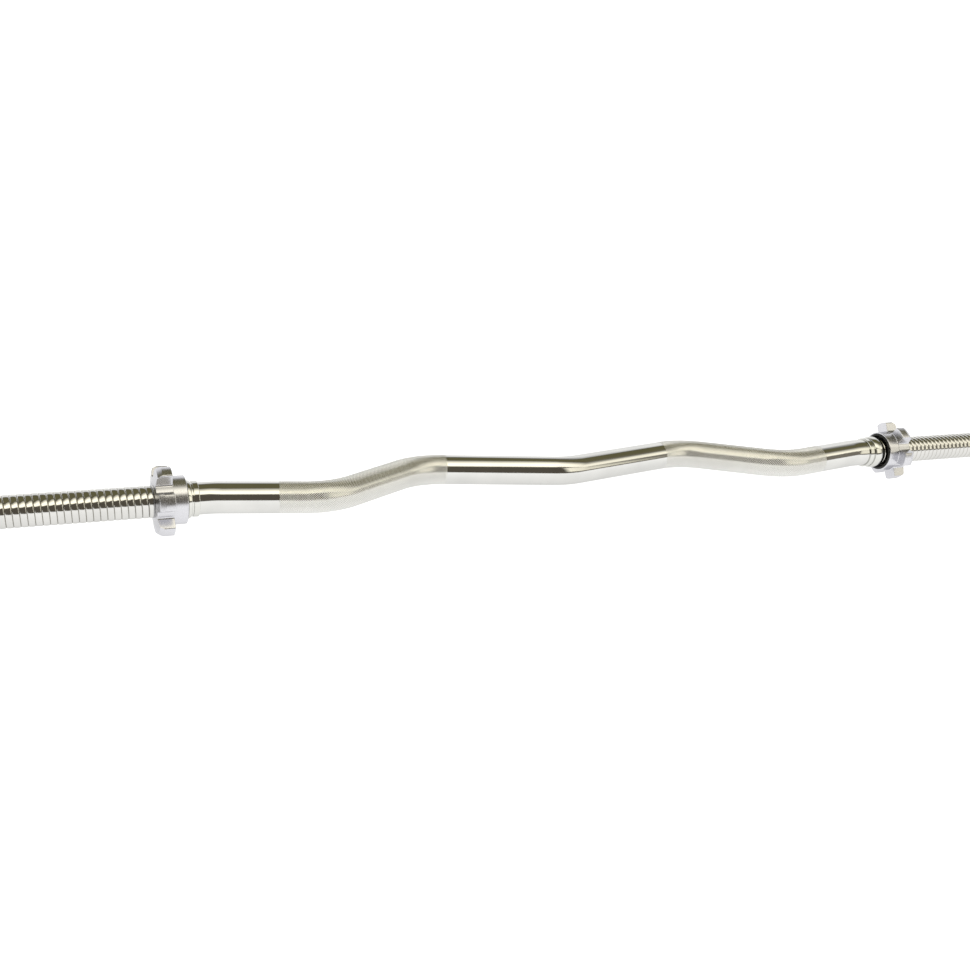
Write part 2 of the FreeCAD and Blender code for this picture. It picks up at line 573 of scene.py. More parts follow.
@dataclass(frozen=True)
class PaperFinish:
    """White paper or cloth with light of its own, as strong as the sheet's glow at each point.

    Attributes:
        name: Name of the material.
        tint: Linear colour of the paper.
        light: Linear colour of its own light.
        roughness: Its roughness.
        sheen: Strength of the reflection.
        fibres: Spots per metre and octaves of the fibres.
        fibre_shade: Brightness of the darker fibres.
    """

    name: str
    tint: Colour
    light: Colour
    roughness: float = 0.9
    sheen: float = 0.1
    fibres: Pair = (300.0, 4.0)
    fibre_shade: float = 0.985

    def material(self) -> bpy.types.Material:
        """Make the node material.

        Returns:
            The new material.
        """
        sheet = NodeSheet(self.name)
        sheet.shader.inputs["Roughness"].default_value = self.roughness
        sheet.shader.inputs["Specular IOR Level"].default_value = self.sheen
        sheet.shader.inputs["Emission Color"].default_value = (*self.light, 1.0)
        glow = sheet.add("ShaderNodeAttribute")
        glow.attribute_name = "glow"
        sheet.join(glow, "Fac", sheet.shader, "Emission Strength")
        darker = tuple(self.fibre_shade * part for part in self.tint)
        tint = sheet.ramp(sheet.noise(*self.fibres), NOISE_MIDDLE, (darker, self.tint))
        sheet.join(tint, "Color", sheet.shader, "Base Color")
        return sheet.material


POLISHED = ChromeFinish(
    name="polished_chrome",
    slot="bar_chrome",
    tint=(0.60, 0.598, 0.585),
    painted_groove_shading=(0.30, 0.28, 0.20),
    gloss=(0.07, 0.11),
    root_roughness=0.25,
    streak=(0.08, 1, 1),
    relief=2e-6,
)
KNURLED = ChromeFinish(
    name="knurled_chrome",
    slot="bar_chrome",
    tint=(0.58, 0.578, 0.56),
    # Painted light: the knurl's groove roots are painted paler than the plating.
    painted_groove_shading=(0.91, 0.907, 0.885),
    gloss=(0.14, 0.2),
    root_roughness=0.8,
    streak=(0.5, 1, 1),
    relief=4e-6,
)
THREADED = ChromeFinish(
    name="threaded_chrome",
    slot="bar_chrome",
    tint=(0.60, 0.595, 0.58),
    # Painted shade: the thread's roots are painted darker than the plating.
    painted_groove_shading=(0.42, 0.41, 0.38),
    gloss=(0.07, 0.12),
    root_roughness=0.35,
    streak=(0.3, 1, 1),
    relief=3e-6,
)
TURNED = ChromeFinish(
    name="turned_chrome",
    slot="collar_chrome",
    tint=(0.60, 0.60, 0.575),
    painted_groove_shading=(0.3, 0.28, 0.2),
    gloss=(0.05, 0.1),
    root_roughness=0.3,
    streak=(1, 0.1, 0.1),
    relief=2e-6,
)
CAST = ChromeFinish(
    name="cast_chrome",
    slot="nut_chrome",
    tint=(0.58, 0.58, 0.612),
    # Painted shade: the nut's recess corners are painted near black.
    painted_groove_shading=(0.05, 0.048, 0.045),
    gloss=(0.23, 0.31),
    root_roughness=0.5,
    streak=(1, 1, 1),
    relief=5e-6,
)
RUBBER = RubberFinish("black_rubber", "ring_rubber", (0.010, 0.010, 0.009), (0.035, 0.035, 0.032))
PAPER = PaperFinish("white_paper", (0.10, 0.10, 0.10), (1.0, 1.0, 0.99))
LIT_CLOTH = PaperFinish("lit_cloth", (0.05, 0.05, 0.05), (1.0, 0.95, 0.78))

PieceFinish = ChromeFinish | RubberFinish
Finish = PieceFinish | PaperFinish


@dataclass
class Workshop:
    """Makes Blender objects out of shapes, all with one place for the bar's axis.

    Attributes:
        axis: Where the line of the bar's ends lies, in metres.
        made: Materials made so far, by name.
    """

    axis: Vector
    made: dict[str, bpy.types.Material] = field(default_factory=dict)

    def mesh_object(self, name: str, solid: Solid, shading: Shading) -> bpy.types.Object:
        """Put a skin into a new mesh object at the origin.

        Args:
            name: Name of the piece.
            solid: Its skin, in millimetres about the axis.
            shading: How its faces meet.

        Returns:
            The new object.
        """
        mesh = bpy.data.meshes.new(name)
        places = solid.points * MM + np.array(self.axis)
        count = len(solid.triangles)
        mesh.vertices.add(len(places))
        mesh.vertices.foreach_set("co", places.astype(np.float32).ravel())
        mesh.loops.add(3 * count)
        mesh.loops.foreach_set("vertex_index", solid.triangles.astype(np.int32).ravel())
        mesh.polygons.add(count)
        mesh.polygons.foreach_set("loop_start", np.arange(0, 3 * count, 3, dtype=np.int32))
        mesh.update(calc_edges=True)
        # The groove mask drives the finish's painted groove shading.
        groove = mesh.attributes.new("groove", "FLOAT", "POINT")
        groove.data.foreach_set("value", solid.groove.astype(np.float32))
        mesh.polygons.foreach_set("use_smooth", np.full(count, shading is not Shading.FACETED))
        if shading is not Shading.FACETED:
            mesh.set_sharp_from_angle(angle=math.radians(shading.value))
        obj = bpy.data.objects.new(name, mesh)
        bpy.context.scene.collection.objects.link(obj)
        return obj

    def paint(self, obj: bpy.types.Object, finish: Finish) -> None:
        """Give an object a finish, made once for all pieces that share it.

        Args:
            obj: The object.
            finish: Its finish.
        """
        if finish.name not in self.made:
            self.made[finish.name] = finish.material()
        obj.data.materials.append(self.made[finish.name])

    def piece(
        self, name: str, solid: Solid, shading: Shading, finish: PieceFinish, body: str, node: str
    ) -> bpy.types.Object:
        """Make one finished piece of the part.

        Args:
            name: Name of the piece.
            solid: Its skin.
            shading: How its faces meet.
            finish: What it is finished in.
            body: The CAD body that it rides on.
            node: The CAD node that it stands for.

        Returns:
            The new object.
        """
        obj = self.mesh_object(name, solid, shading)
        self.paint(obj, finish)
        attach(obj, body)
        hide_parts(node)
        return obj


# The part


@dataclass
class CurlBar:
    """The bent steel rod: plain middle, knurled grips, plain necks and threaded ends.

    Attributes:
        half_length: Half the bar's length.
        stock_radius: Radius of the plain rod.
        bend_radius: Radius of the bends on the centre line.
        bends: Corners of the centre line right of the middle, as (x, y) pairs.
        middle_y: Sideways offset of the centre line's corner in the middle.
        grip_start: X at which each knurled grip starts.
        grip_end: X at which each knurled grip ends.
        thread_start: X at which the thread starts, inside the collar.
        thread_radius: Radius of the thread's crests.
        thread_crown: How much lower the thread's ridges are at the edges of the grooves.
        thread_depth: Depth of the grooves from there.
        thread_groove_share: Width of a groove as a share of the pitch.
        thread_pitch: Distance between crests.
        thread_phase: X of one crest on the side away from the camera, left and right.
        end_chamfer: Width of the chamfer at the bar's ends.
        knurl_count: Diamonds round the bar.
        knurl_pitch: Length of a diamond along the bar.
        knurl_groove_share: Width of a groove as a share of the grooves' spacing.
        knurl_rise: Height of the diamonds' flat tops over the plain rod.
        knurl_sink: Depth of the grooves under the plain rod.
        knurl_fade: Length over which the knurl runs out.
        knurl_face: Diamonds past a grip's end at which the end face starts and reaches its middle.
        knurl_spare: Rows of diamonds past the grip's ends.
        thread_spare: Turns of the grid past the left and the right end of a thread.
        ridge_shares: Rows of points on half a ridge, as shares of its width.
        plain_step: Distance between rows of points on a plain stretch.
        neck_overlap: How far a neck runs into its thread.
    """

    half_length: float
    stock_radius: float = 12.5
    bend_radius: float = 60.0
    bends: tuple[Pair, ...] = ((129.0, 31.5), (216.9, -16.9), (306.4, 0.0))
    middle_y: float = 4.4
    grip_start: float = 105.2
    grip_end: float = 258.2
    thread_start: float = 327.0
    thread_radius: float = 12.3
    thread_crown: float = 0.2
    thread_depth: float = 0.45
    thread_groove_share: float = 0.2
    thread_pitch: float = 5.0
    thread_phase: Pair = (-456.31, 397.86)
    end_chamfer: float = 2.0
    knurl_count: int = 48
    knurl_pitch: float = 1.6
    knurl_groove_share: float = 0.27
    knurl_rise: float = 0.04
    knurl_sink: float = 0.07
    knurl_fade: float = 1.2
    knurl_face: Pair = (0.8, 1.6)
    knurl_spare: int = 4
    thread_spare: tuple[int, int] = (3, 2)
    ridge_shares: tuple[float, ...] = (0.0, 0.3, 0.6, 0.9, 1.0)
    plain_step: float = 1.5
    neck_overlap: float = 1.0

    def line(self) -> BentLine:
        """The centre line, mirrored about the middle of the bar.

        Returns:
            The line from the left end to the right end.
        """
        right = [*self.bends, (self.half_length, 0.0)]
        left = [(-x, y) for x, y in reversed(right)]
        return BentLine(np.array([*left, (0.0, self.middle_y), *right]), self.bend_radius)

    def plain_run(self, start_x: float, end_x: float, columns: int = 96) -> Solid:
        """A plain round stretch, closed by a disc at each end.

        The radius is the rod's along the stretch, and zero on the first and last row.

        Args:
            start_x: X at one end.
            end_x: X at the other end.
            columns: Points round the bar.

        Returns:
            The closed skin.
        """
        line = self.line()
        low, high = line.distance_at(start_x), line.distance_at(end_x)
        inner = np.linspace(low, high, int((high - low) / self.plain_step) + 2)
        distance = np.concatenate([[low], inner, [high]])
        radius = np.full((len(distance), 1), self.stock_radius)
        radius[[0, -1]] = 0.0
        return Solid.from_grid(line.tube(distance[:, None], around(columns), radius))

    def grip(self, side: Side) -> Solid:
        """A stretch with diamond knurling, closed by a disc at each end.

        Two families of grooves wind round the bar in opposite senses. The grid runs along them: a column
        counts grooves of one family, a row those of the other, half their sum is the place round the bar
        and half their difference the place along it, both in diamonds. A point on a groove's line is sunk
        and every other one is raised, which leaves flat diamonds between narrow grooves. Past the ends,
        points slide in over the end face to its middle.

        Args:
            side: Which end of the bar.

        Returns:
            The closed skin.
        """
        line = self.line()
        ends = sorted(line.distance_at(side.value * x) for x in (self.grip_start, self.grip_end))
        length = (ends[1] - ends[0]) / self.knurl_pitch
        edge = self.knurl_groove_share / 2
        offsets = np.array([0.0, edge, 1 - edge])
        count = self.knurl_count
        column = np.append((np.arange(count)[:, None] + offsets).ravel(), count)[None, :]
        first, last = -math.ceil(2 * length) - self.knurl_spare, count + self.knurl_spare
        row = (np.arange(first, last)[:, None] + offsets).reshape(-1, 1)
        along = (column - row) / 2
        angles = FULL_TURN * (column + row) / 2 / count
        height = (np.mod(column, 1) > 0) * (np.mod(row, 1) > 0).astype(float)
        from_end = np.minimum(along, length - along)
        fade = np.clip(from_end * self.knurl_pitch / self.knurl_fade, 0, 1)
        relief = (self.knurl_rise + self.knurl_sink) * height - self.knurl_sink
        face_start, face_end = self.knurl_face
        inward = np.clip((face_end + from_end) / (face_end - face_start), 0, 1)
        radius = (self.stock_radius + fade * relief) * inward
        distance = ends[0] + np.clip(along, 0, length) * self.knurl_pitch
        grid = line.tube(distance, angles, radius)
        # The groove mask puts the knurl finish's painted light into the grooves.
        return Solid.from_grid(grid, loop_columns=False, groove=(1 - height) * fade)

    def thread(self, side: Side, columns: int = 96) -> Solid:
        """A right-hand thread from inside the collar to the bar's end.

        The grid runs along the helix: x is the pitch times (the row's turns plus the column's share of a
        turn), so that crests and roots follow rows of points. A ridge is crowned as the square of the
        distance from its crest, and a narrow groove between two ridges falls straight to its root. Past the
        chamfered end, points slide in over the end face to its middle.

        Args:
            side: Which end of the bar.
            columns: Points round the bar.

        Returns:
            The closed skin.
        """
        low, high = sorted(side.value * x for x in (self.thread_start, self.half_length))
        pitch = self.thread_pitch
        phase = self.thread_phase[0 if side is Side.LEFT else 1]
        first = math.floor((low - phase) / pitch) - self.thread_spare[0]
        last = math.ceil((high - phase) / pitch) + self.thread_spare[1]
        groove = self.thread_groove_share
        flank = (1 - groove) / 2
        ridge = flank * np.array(self.ridge_shares)
        shares = np.concatenate([ridge, [flank + groove / 4, 0.5, 0.5 + groove / 4], 1 - ridge[:0:-1]])
        turns = (np.arange(first, last)[:, None] + shares).reshape(-1, 1)
        angles = np.linspace(0, FULL_TURN, columns + 1)
        x = phase + pitch * (turns + angles[None, :] / FULL_TURN)
        from_crest = np.abs(turns - np.round(turns))
        sunk = np.broadcast_to(np.clip((from_crest - flank) / (0.5 - flank), 0, 1), x.shape)
        crown = self.thread_crown * np.minimum(from_crest / flank, 1) ** 2
        crest = self.thread_radius - crown - self.thread_depth * sunk
        chamfer = self.half_length - np.abs(x) + self.thread_radius - self.end_chamfer
        radius = np.minimum(crest, chamfer)
        beyond = np.maximum(np.maximum(low - x, x - high), 0)
        end_radius = self.thread_radius - self.end_chamfer
        radius = np.where(beyond > 0, end_radius * np.clip(1 - beyond / pitch, 0, 1), radius)
        grid = turned(np.stack([np.clip(x, low, high), radius], axis=-1), angles)
        # Painted shade at the thread's roots, with duller roughness there; none on the end face.
        root_shade_mask = np.where(beyond > 0, 0, np.sqrt(sunk))
        return Solid.from_grid(grid, loop_columns=False, groove=root_shade_mask)

    def build(self, workshop: Workshop) -> list[bpy.types.Object]:
        """Make the bar's stretches from the middle outwards.

        Args:
            workshop: Where objects are made.

        Returns:
            The pieces.
        """
        middle = self.plain_run(-self.grip_start, self.grip_start)
        made = [self.dress(workshop, "bar_middle", middle, POLISHED)]
        for side in Side:
            word = side.word
            neck_end = self.thread_start + self.neck_overlap
            neck = self.plain_run(*sorted(side.value * x for x in (self.grip_end, neck_end)))
            made.append(self.dress(workshop, f"bar_grip_{word}", self.grip(side), KNURLED, Shading.FACETED))
            made.append(self.dress(workshop, f"bar_neck_{word}", neck, POLISHED))
            made.append(self.dress(workshop, f"bar_thread_{word}", self.thread(side), THREADED))
        return made

    @staticmethod
    def dress(
        workshop: Workshop, name: str, solid: Solid, finish: PieceFinish, shading: Shading = Shading.SOFT
    ) -> bpy.types.Object:
        """Make and finish one stretch of the bar."""
        return workshop.piece(name, solid, shading, finish, "bar", "bar")


@dataclass
class InnerCollar:
    """The pressed collar that stops the plates: bead, groove and crowned barrel.

    Attributes:
        side: Which end of the bar.
        start: X of the bead's free face, from the middle of the bar.
        bore_radius: Radius of the bar inside.
        bead_width: Width of the bead.
        bead_radius: Radius of the bead.
        groove_width: Width of the groove.
        groove_radius: Radius of the groove's floor.
        barrel_width: Width of the barrel.
        barrel_radius: Largest radius of the barrel.
        barrel_crown: How much lower the barrel's edges are.
        crown_points: Points across the barrel.
        crown_round: Rounding at those points, so that the crown runs smooth.
        bead_round: Rounding of the bead's free edge.
        bead_inner_round: Rounding of the bead's edge at the groove.
        groove_round: Rounding of the groove's corners.
        barrel_round: Rounding of the barrel's edges.
    """

    side: Side
    start: float
    bore_radius: float = 12.45
    bead_width: float = 4.4
    bead_radius: float = 13.8
    groove_width: float = 1.4
    groove_radius: float = 13.1
    barrel_width: float = 9.3
    barrel_radius: float = 14.9
    barrel_crown: float = 0.7
    crown_points: int = 9
    crown_round: float = 6.0
    bead_round: float = 0.9
    bead_inner_round: float = 0.4
    groove_round: float = 0.2
    barrel_round: float = 0.6

    def solid(self) -> Solid:
        """Turn the collar's rounded profile about the bar's axis.

        The barrel's crown is a parabola: the edge drop times the square of the distance from its middle.

        Returns:
            The closed skin.
        """
        groove_x = self.start + self.bead_width
        barrel_x = groove_x + self.groove_width
        across = np.linspace(-1, 1, self.crown_points)
        crown_x = barrel_x + self.barrel_width * (across + 1) / 2
        crown_r = self.barrel_radius - self.barrel_crown * across**2
        rounding = np.where(np.abs(across) < 1, self.crown_round, self.barrel_round)
        corners = [
            (self.start, self.bore_radius, 0.0),
            (self.start, self.bead_radius, self.bead_round),
            (groove_x, self.bead_radius, self.bead_inner_round),
            (groove_x, self.groove_radius, self.groove_round),
            (barrel_x, self.groove_radius, self.groove_round),
            *zip(crown_x, crown_r, rounding),
            (barrel_x + self.barrel_width, self.bore_radius, 0.0),
        ]
        return ring(corners, self.side)

    def build(self, workshop: Workshop) -> bpy.types.Object:
        """Make and finish the collar.

        Args:
            workshop: Where objects are made.

        Returns:
            The piece.
        """
        node = f"inner_collar_{self.side.word}"
        return workshop.piece(f"{node}_turned", self.solid(), Shading.SOFT, TURNED, "bar", node)


@dataclass
class StarNut:
    """The screw-on nut: a long hub with a stepped recess, and parallel-sided lobes with an outer bevel.

    Attributes:
        side: Which end of the bar.
        nose: X of the nut's nose, from the middle of the bar.
        turn: Turn about +X from standing on two lobes, in degrees.
        lobe_count: Number of lobes.
        bore_radius: Radius of the bore.
        seat_radius: Radius of the ring's seat.
        seat_depth: Depth of the ring's seat.
        recess_radius: Radius of the room for the collar behind the seat.
        recess_depth: Depth of that room from the nose.
        hub_radius: Radius of the hub.
        hub_length: Length of the hub up to the lobes.
        tip_radius: Distance of the tips' middles from the axis.
        tip_crown: How much lower a tip is at its corners than in its middle.
        tip_round: Radius of the tips' corners.
        lobe_width: Width of a lobe between its flanks.
        core_radius: Radius of the round core between the lobes.
        root_round: Radius between a lobe's flank and the core.
        lobe_end: Distance from the nose to the end of the lobes' flat tips.
        bevel_length: Length of the bevel behind the tips.
        bevel_drop: Height that the bevel loses.
        face_radius: Radius of the outer flat face.
        mouth_chamfer: Width of the chamfer at the bore's mouth.
        length: Whole length of the nut.
        cone_gap: Least distance from the outline at which the outer cone ends.
        recess_round: Rounding of the corners inside the recess.
        mouth_round: Rounding of the edges at the bore's mouth and at the seat.
        face_round: Rounding between the outer face and the cone.
        bevel_round: Rounding between the cone and the bevel.
        lobe_edge_round: Rounding of the lobes' edges.
        hub_root_round: Rounding between the lobes' inner face and the hub.
        nose_round: Rounding of the hub's edge at the nose.
        tip_shares: Points on half a tip, as shares of its half width.
        flank_shares: Points on a flank, as shares of its length.
        arc_points: Points on the arcs at a tip's corner and at a lobe's root.
        core_points: Points on the core's arc up to the middle of a notch.
    """

    side: Side
    nose: float
    turn: float
    lobe_count: int = 6
    bore_radius: float = 12.8
    seat_radius: float = 17.3
    seat_depth: float = 4.0
    recess_radius: float = 15.2
    recess_depth: float = 6.2
    hub_radius: float = 18.6
    hub_length: float = 10.6
    tip_radius: float = 27.8
    tip_crown: float = 1.2
    tip_round: float = 1.2
    lobe_width: float = 13.0
    core_radius: float = 18.9
    root_round: float = 2.0
    lobe_end: float = 17.7
    bevel_length: float = 4.4
    bevel_drop: float = 2.2
    face_radius: float = 15.5
    mouth_chamfer: float = 1.5
    length: float = 23.7
    cone_gap: float = 0.2
    recess_round: float = 0.2
    mouth_round: float = 0.3
    face_round: float = 1.0
    bevel_round: float = 1.5
    lobe_edge_round: float = 0.6
    hub_root_round: float = 0.8
    nose_round: float = 0.6
    tip_shares: tuple[float, ...] = (0.0, 0.2, 0.4, 0.6, 0.8, 0.97, 1.0)
    flank_shares: tuple[float, ...] = (0.03, 0.3, 0.7, 0.97, 1.0)
    arc_points: int = 8
    core_points: int = 6

    def outline(self) -> tuple[np.ndarray, np.ndarray]:
        """The lobes' outline, as angles and radii.

        Half a lobe is a tip that falls off as the square of the distance from its middle, an arc at its
        corner, a straight flank, an arc that touches the flank and the core, and the core's own arc to the
        middle of the notch. The root arc's centre lies its radius outside the flank, and at the sum of its
        radius and the core's from the axis. The half is mirrored and repeated round the axis.

        Returns:
            Angles from +Y towards +Z, and radii.
        """
        half_step = math.pi / self.lobe_count
        half_width = self.lobe_width / 2
        slope = math.atan(2 * self.tip_crown / half_width)
        tip_v = half_width - self.tip_round * (1 - math.sin(slope))
        tip_v = tip_v * np.array(self.tip_shares)
        tip = np.stack([self.tip_radius - self.tip_crown * (tip_v / half_width) ** 2, tip_v], -1)
        corner = tip[-1] - self.tip_round * np.array([math.cos(slope), math.sin(slope)])
        root_v = half_width + self.root_round
        root = np.array([math.sqrt((self.core_radius + self.root_round) ** 2 - root_v**2), root_v])
        root_angle = math.atan2(root[1], root[0])
        bow = np.linspace(slope, math.pi / 2, self.arc_points)[1:]
        bend = corner + self.tip_round * np.stack([np.cos(bow), np.sin(bow)], -1)
        flank_u = corner[0] + np.array(self.flank_shares) * (root[0] - corner[0])
        flank = np.stack([flank_u, np.full_like(flank_u, half_width)], -1)
        sweep = np.linspace(-math.pi / 2, root_angle - math.pi, self.arc_points)[1:]
        hollow = root + self.root_round * np.stack([np.cos(sweep), np.sin(sweep)], -1)
        floor = np.linspace(root_angle, half_step, self.core_points)[1:]
        core = self.core_radius * np.stack([np.cos(floor), np.sin(floor)], -1)
        half = np.concatenate([tip, bend, flank, hollow, core])
        angle = np.arctan2(half[:, 1], half[:, 0])
        radius = np.hypot(half[:, 0], half[:, 1])
        angle = np.concatenate([angle, 2 * half_step - angle[-2:0:-1]])
        radius = np.concatenate([radius, radius[-2:0:-1]])
        starts = 2 * half_step * np.arange(self.lobe_count)[:, None]
        return (starts + angle).ravel(), np.tile(radius, self.lobe_count)

    def solid(self) -> Solid:
        """Carry the nut's rounded profile round the axis, with its outer corners on the lobes' outline.

        In each plane through the axis the profile runs from the bore over the mouth, the outer cone, the
        bevel, the lobe's outline, the lobes' flat inner face, the hub and the stepped recess back to the
        bore. Where the outline lies under the bevel's lower edge, the profile leaves the cone at the
        outline instead. The corners inside the recess count as the roots of a groove, and so get the
        finish's painted shade.

        Returns:
            The closed skin.
        """
        angles, outline = self.outline()
        bevel_radius = self.tip_radius - self.bevel_drop
        cone_radius = np.minimum(outline - self.cone_gap, bevel_radius)
        outer = [self.face_radius, bevel_radius, self.tip_radius, self.tip_radius + self.bevel_drop]
        outer_x = [
            self.length,
            self.lobe_end + self.bevel_length,
            self.lobe_end,
            self.lobe_end - self.bevel_length,
        ]
        # The last column marks the recess corners, which get the finish's painted dark shade.
        corners = [
            (self.recess_depth, self.bore_radius, self.recess_round, 1),
            (self.length - self.mouth_chamfer, self.bore_radius, self.mouth_round, 0),
            (self.length, self.bore_radius + self.mouth_chamfer, self.mouth_round, 0),
            (self.length, self.face_radius, self.face_round, 0),
            (np.interp(cone_radius, outer, outer_x), cone_radius, self.bevel_round, 0),
            (np.interp(outline, outer, outer_x), outline, self.lobe_edge_round, 0),
            (self.hub_length, outline, self.lobe_edge_round, 0),
            (self.hub_length, self.hub_radius, self.hub_root_round, 0),
            (0.0, self.hub_radius, self.nose_round, 0),
            (0.0, self.seat_radius, self.mouth_round, 0),
            (self.seat_depth, self.seat_radius, self.recess_round, 1),
            (self.seat_depth, self.recess_radius, self.recess_round, 1),
            (self.recess_depth, self.recess_radius, self.recess_round, 1),
        ]
        x, radius, rounding, inside = zip(*corners)
        places = [[np.broadcast_to(part, outline.shape) for part in axis] for axis in (x, radius)]
        profile = rounded_loop(np.array(places).transpose(1, 2, 0), np.array(rounding))
        groove = np.repeat(np.array(inside, float), len(profile) // len(corners))
        groove = np.broadcast_to(groove[:, None], profile.shape[:2])
        grid = turned(profile + np.array([self.nose, 0.0]), angles + math.radians(self.turn))
        return Solid.from_grid(grid, loop_rows=True, groove=groove).mirrored(self.side)

    def build(self, workshop: Workshop) -> bpy.types.Object:
        """Make and finish the nut.

        Args:
            workshop: Where objects are made.

        Returns:
            The piece.
        """
        word = self.side.word
        node = f"star_nut_{word}"
        return workshop.piece(f"{node}_cast", self.solid(), Shading.SOFT, CAST, f"{word}_nut", node)


@dataclass
class RubberRing:
    """The rubber ring in the nose of a star nut.

    Attributes:
        side: Which end of the bar.
        front: X of the ring's free face, from the middle of the bar.
        back: X of the ring's hidden face.
        bore_radius: Radius of its bore.
        radius: Its outer radius.
        front_round: Rounding of the free edges.
        back_round: Rounding of the hidden edges.
        corner_points: Points on each rounded edge.
    """

    side: Side
    front: float
    back: float
    bore_radius: float = 15.2
    radius: float = 17.0
    front_round: float = 0.7
    back_round: float = 0.2
    corner_points: int = 7

    def solid(self) -> Solid:
        """Turn the ring's rounded section about the bar's axis.

        Returns:
            The closed skin.
        """
        corners = [
            (self.front, self.bore_radius, self.front_round),
            (self.front, self.radius, self.front_round),
            (self.back, self.radius, self.back_round),
            (self.back, self.bore_radius, self.back_round),
        ]
        return ring(corners, self.side, self.corner_points)

    def build(self, workshop: Workshop) -> bpy.types.Object:
        """Make and finish the ring.

        Args:
            workshop: Where objects are made.

        Returns:
            The piece.
        """
        word = self.side.word
        node = f"rubber_ring_{word}"
        return workshop.piece(f"{node}_moulded", self.solid(), Shading.SOFT, RUBBER, f"{word}_ring", node)


# The studio


@dataclass(frozen=True)
class StudioCamera:
    """The camera, as it was worked out from the outline of the bar.

    Attributes:
        eye: Place of the lens relative to the middle of the bar's axis, in millimetres.
        yaw: Turn to the right from +Y, in radians.
        pitch: Turn downwards.
        roll: Lean of the camera.
        focal: Focal length in pixels of the image.
        sensor: Sensor width in millimetres.
        near: Least distance that the camera sees, in metres.
        off_centre: How far the fitted centre lies off the image's middle, in pixels.
    """

    eye: tuple[float, float, float] = (-477.93, -867.43, 351.37)
    yaw: float = 0.4317
    pitch: float = 0.3584
    roll: float = 0.0884
    focal: float = 1208.45
    sensor: float = 36.0
    near: float = 0.01
    off_centre: float = 0.5

    def build(self, axis: Vector) -> bpy.types.Object:
        """Make the camera and hand it to the scene.

        A small shift makes good that the fitted centre lies off the image's middle.

        Args:
            axis: Middle of the bar's axis in metres.

        Returns:
            The camera.
        """
        level = Vector((math.sin(self.yaw), math.cos(self.yaw), 0))
        across = Vector((math.cos(self.yaw), -math.sin(self.yaw), 0))
        ahead = level * math.cos(self.pitch) - Vector((0, 0, 1)) * math.sin(self.pitch)
        above = Vector((0, 0, 1)) * math.cos(self.pitch) + level * math.sin(self.pitch)
        right = across * math.cos(self.roll) + above * math.sin(self.roll)
        up = above * math.cos(self.roll) - across * math.sin(self.roll)
        turn = Matrix((right, up, -ahead)).transposed().to_4x4()
        data = bpy.data.cameras.new("studio_camera")
        data.sensor_width = self.sensor
        data.lens = self.focal * self.sensor / IMAGE_SIDE
        data.shift_x = -self.off_centre / IMAGE_SIDE
        data.shift_y = self.off_centre / IMAGE_SIDE
        data.clip_start = self.near
        camera = bpy.data.objects.new("studio_camera", data)
        camera.matrix_world = Matrix.Translation(axis + Vector(self.eye) * MM) @ turn
        bpy.context.scene.collection.objects.link(camera)
        bpy.context.scene.camera = camera
        return camera


def sheet_object(name: str, grid: np.ndarray, glow: np.ndarray) -> bpy.types.Object:
    """Make an open sheet of four-sided faces out of a grid of points.

    Args:
        name: Name of the sheet.
        grid: Points in metres, shape (rows, columns, 3).
        glow: Strength of its own light at the points, or one that spreads to their shape.

    Returns:
        The new object.
    """
    mesh = bpy.data.meshes.new(name)
    numbers = np.arange(grid.shape[0] * grid.shape[1]).reshape(grid.shape[:2])
    a, b = numbers[:-1, :-1], numbers[1:, :-1]
    c, d = numbers[1:, 1:], numbers[:-1, 1:]
    faces = np.stack([a, b, c, d], -1).reshape(-1, 4)
    mesh.from_pydata(grid.reshape(-1, 3).tolist(), [], faces.tolist())
    mesh.polygons.foreach_set("use_smooth", np.ones(len(faces), bool))
    strength = mesh.attributes.new("glow", "FLOAT", "POINT")
    spread_glow = np.broadcast_to(glow, grid.shape[:2])
    strength.data.foreach_set("value", spread_glow.astype(np.float32).ravel())
    obj = bpy.data.objects.new(name, mesh)
    bpy.context.scene.collection.objects.link(obj)
    return obj


@dataclass(frozen=True)
class SoftStrip:
    """A long bent strip of lit cloth over the front of the bar, in metres.

    Attributes:
        height: Height over the floor.
        stations: Places along X, each with the strip's front and back edge in Y and its glow.
        front_blur: Share of the strip's width over which its front edge fades to each side.
        back_blur: The same for its back edge.
        least: Share of the glow that is left where an edge has faded.
    """

    height: float = 2.0
    stations: tuple[tuple[float, float, float, float], ...] = (
        (-4.0, -2.1, -0.95, 2.1),
        (-0.8, -2.1, -0.9, 2.1),
        (-0.2, -1.95, -0.5, 2.1),
        (0.5, -1.6, -0.15, 2.1),
        (1.2, -1.9, -0.55, 1.85),
        (2.2, -2.4, -1.05, 1.5),
        (3.4, -2.6, -0.8, 1.55),
        (5.0, -2.5, -0.6, 1.7),
    )
    front_blur: float = 0.12
    back_blur: float = 0.3
    least: float = 0.1

    def build(self, workshop: Workshop) -> None:
        """Draw the strip straight from station to station, and keep it out of the camera's sight.

        Args:
            workshop: Where objects are made.
        """
        x, front, back, glow = np.array(self.stations).T
        share = np.array([-self.front_blur, self.front_blur, 1 - self.back_blur, 1 + self.back_blur])
        fade = np.array([self.least, 1, 1, self.least])
        grid = np.empty((len(x), len(share), 3))
        grid[..., 0] = x[:, None]
        grid[..., 1] = front[:, None] + (back - front)[:, None] * share
        grid[..., 2] = self.height
        strip = sheet_object("soft_strip", grid, glow[:, None] * fade)
        workshop.paint(strip, LIT_CLOTH)
        strip.visible_camera = False


